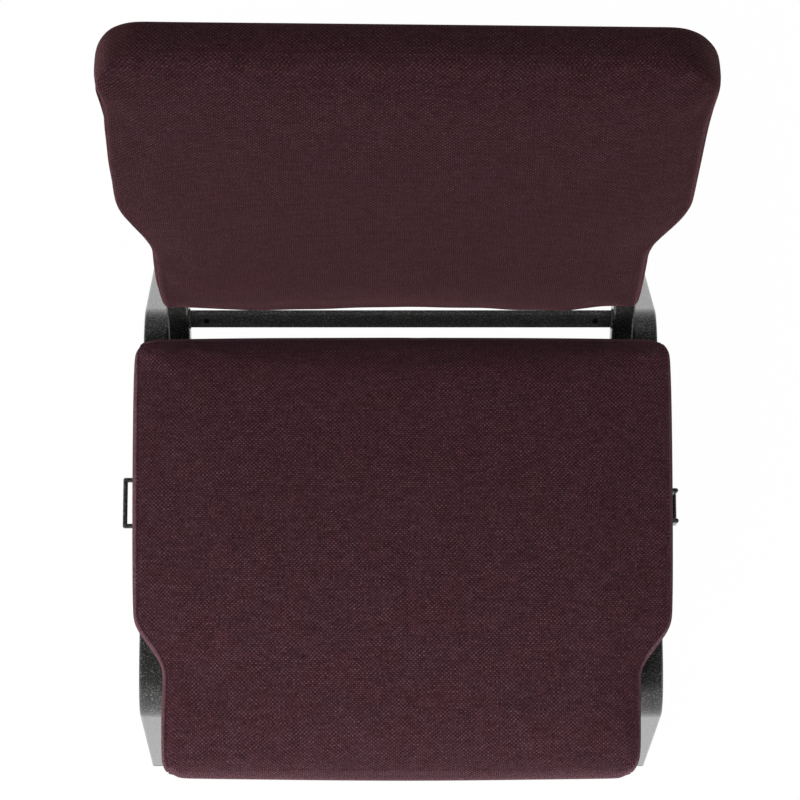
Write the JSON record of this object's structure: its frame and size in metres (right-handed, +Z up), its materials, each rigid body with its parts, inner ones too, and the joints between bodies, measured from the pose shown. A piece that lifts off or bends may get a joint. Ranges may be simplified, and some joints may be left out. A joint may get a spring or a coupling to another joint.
{
  "type": "stacking church chair",
  "caption": "Upholstered stacking chair with a bent square-tube frame, a padded seat and back, a ganging loop and hook, and a flat rear bar with accessory holes.",
  "frame": {"origin": "on the floor, under the centre of the bounding box", "axes": "+Z up, -Y towards the front of the chair, +X towards the right in the picture, which is the sitter's left"},
  "size_m": [0.5612, 0.6453, 0.8503],
  "materials": {
    "frame_paint": "semi-gloss hammertone paint, black with silver veins",
    "black_plastic": "moulded, matte",
    "plywood": "raw birch plywood",
    "hardboard": "smooth brown hardboard",
    "foam": "open-cell polyurethane foam",
    "fabric": "woven plum melange upholstery fabric",
    "dust_cloth": "black non-woven cloth",
    "zinc_plate": "bright zinc plate"
  },
  "bodies": {
    "root": {"left_leg_frame": "frame_paint", "right_leg_frame": "frame_paint", "left_back_upright": "frame_paint", "right_back_upright": "frame_paint", "front_seat_strap": "frame_paint", "rear_seat_strap": "frame_paint", "lower_back_bar": "frame_paint", "upper_back_bar": "frame_paint", "front_left_glide": "black_plastic", "front_right_glide": "black_plastic", "rear_left_glide": "black_plastic", "rear_right_glide": "black_plastic", "run_end_plugs": "black_plastic", "stacking_bumpers": "black_plastic", "ganging_loop": "frame_paint", "ganging_hook": "frame_paint", "seat_board": "plywood", "seat_foam": "foam", "seat_cover": "fabric", "seat_dust_cover": "dust_cloth", "seat_bolts": "zinc_plate", "seat_bolt_washers": "zinc_plate", "seat_tee_nuts": "zinc_plate", "back_board": "plywood", "back_foam": "foam", "back_rear_board": "hardboard", "back_rear_pad": "foam", "back_cover": "fabric", "back_closing_strip": "fabric", "back_screws": "zinc_plate", "back_tee_nuts": "zinc_plate"}
  },
  "joints": []
}
